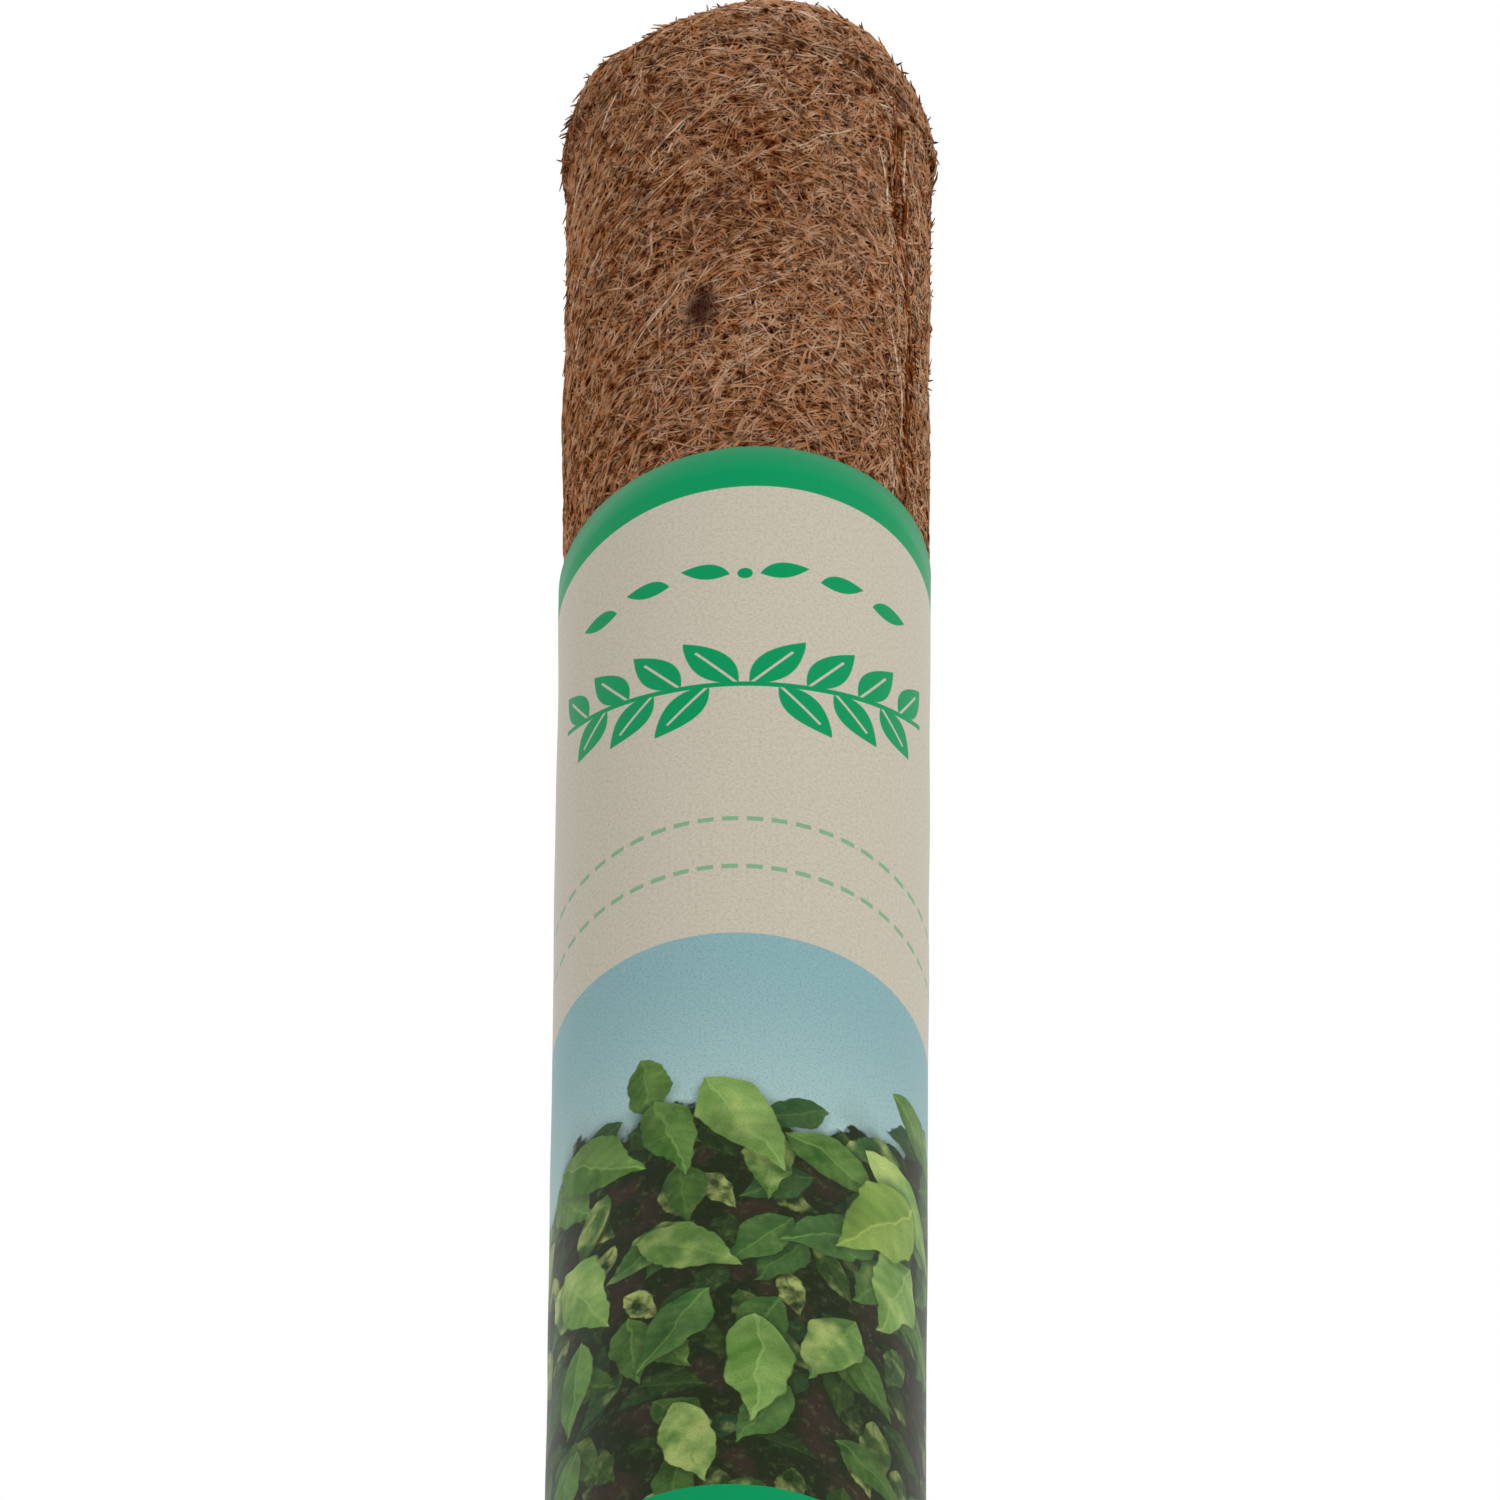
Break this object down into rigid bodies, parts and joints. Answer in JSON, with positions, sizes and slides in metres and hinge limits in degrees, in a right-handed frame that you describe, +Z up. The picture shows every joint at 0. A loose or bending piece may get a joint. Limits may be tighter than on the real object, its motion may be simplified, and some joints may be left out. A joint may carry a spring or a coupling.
{
  "type": "moss pole",
  "caption": "Moss pole for climbing plants: a pointed wooden stake in a felted coconut-fibre sleeve with a rounded felt plug on top and a wrapped card label that slides along the sleeve.",
  "frame": {"origin": "middle of the stake's blunt tip, the lowest point of the pole", "axes": "+Z up along the pole, -Y out of the front of the label, +X to the right of the label's front"},
  "size_m": [0.0394, 0.04, 0.9],
  "materials": {
    "stake_wood": "matte",
    "sleeve_coir": "matte",
    "plug_coir": "matte",
    "staple_steel": "satin",
    "label_card": "satin",
    "label_glue": "satin"
  },
  "bodies": {
    "pole": {"wooden_stake": "stake_wood", "coir_sleeve": "sleeve_coir", "coir_top_plug": "plug_coir", "hem_staple_1": "staple_steel", "hem_staple_2": "staple_steel", "hem_staple_3": "staple_steel", "hem_staple_4": "staple_steel"},
    "label": {"label_wrap": "label_card", "label_glue_strip": "label_glue"}
  },
  "joints": [
    {"name": "label_slide", "type": "slide", "parent": "pole", "child": "label", "axis": [0, 0, 1], "range_m": [-0.52, 0.25]}
  ]
}
